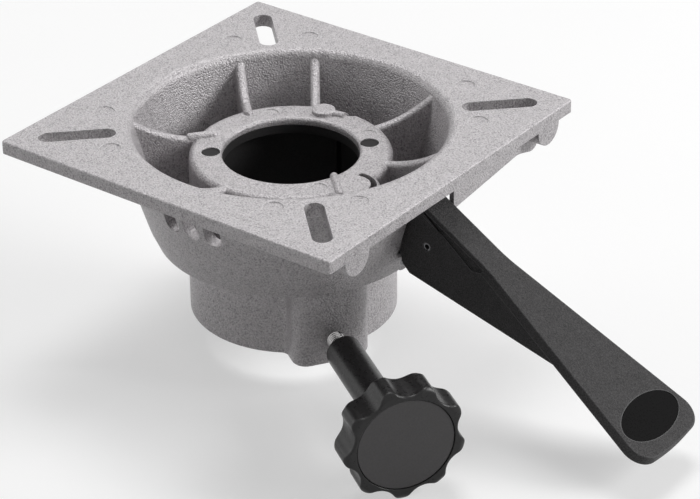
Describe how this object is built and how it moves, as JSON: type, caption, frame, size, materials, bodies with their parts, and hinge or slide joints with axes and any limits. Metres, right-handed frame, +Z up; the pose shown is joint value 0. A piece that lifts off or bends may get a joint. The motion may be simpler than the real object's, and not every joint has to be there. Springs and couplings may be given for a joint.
{
  "type": "boat seat mount",
  "caption": "Die-cast boat seat mount: square slotted seat plate over a ribbed bowl and post collar, with bushings, a swivel-lock lever and a clamp knob.",
  "frame": {"origin": "on the post's axis, at the seat plate's top face", "axes": "+Z up out of the seat plate, +X along the lock lever, plate edges along X and Y"},
  "size_m": [0.2902, 0.1906, 0.1064],
  "materials": {
    "cast_grey": "hammered silver-grey paint on die-cast aluminium",
    "black_plastic": "black acetal",
    "lever_black": "textured black glass-filled nylon",
    "inlay_black": "smooth satin black",
    "knob_black": "semi-gloss black phenolic",
    "cap_black": "fine matt black",
    "bright_steel": "zinc-plated steel",
    "dark_steel": "black spring steel",
    "washer_plastic": "natural nylon"
  },
  "bodies": {
    "housing": {"seat_mount_casting": "cast_grey", "thrust_washer": "black_plastic", "upper_bushing": "black_plastic", "lower_bushing": "black_plastic", "bushing_retaining_ring": "dark_steel", "plunger_guide_plug": "dark_steel"},
    "lever": {"lock_lever": "lever_black", "lever_inlay": "inlay_black", "lever_pivot_pin": "dark_steel", "lever_washer_near": "washer_plastic", "lever_washer_far": "washer_plastic"},
    "plunger": {"lock_plunger": "bright_steel", "plunger_cross_pin": "bright_steel", "plunger_clip": "dark_steel", "plunger_washer": "bright_steel", "plunger_spring": "dark_steel"},
    "clamp_carrier": {"friction_pad": "black_plastic"},
    "clamp_knob": {"knob": "knob_black", "knob_cap": "cap_black", "clamp_stud": "bright_steel"}
  },
  "joints": [
    {"name": "lever_pivot", "type": "hinge", "parent": "housing", "child": "lever", "pos_m": [0.0781, 0, -0.0348], "axis": [0, -1, 0], "range_deg": [0, 22], "stiffness_Nm_per_rad": 0.05, "springref_deg": -51.57},
    {"name": "plunger_slide", "type": "slide", "parent": "housing", "child": "plunger", "axis": [1, 0, 0], "range_m": [0, 0.0047], "stiffness_N_per_m": 300, "springref_m": -0.01, "deforming": ["plunger_spring"]},
    {"name": "clamp_travel", "type": "slide", "parent": "housing", "child": "clamp_carrier", "axis": [0.8329, -0.5534, 0], "range_m": [-0.0029, 0.0043]},
    {"name": "knob_turn", "type": "hinge", "parent": "clamp_carrier", "child": "clamp_knob", "pos_m": [0.08329, -0.05534, -0.0795], "axis": [0.8329, -0.5534, 0], "range_deg": [-720, 1080]}
  ],
  "couplings": [
    {"joint": "plunger_slide", "follows": "lever_pivot", "m_per_rad": 0.012},
    {"joint": "clamp_travel", "follows": "knob_turn", "m_per_rad": 0.00022457}
  ]
}
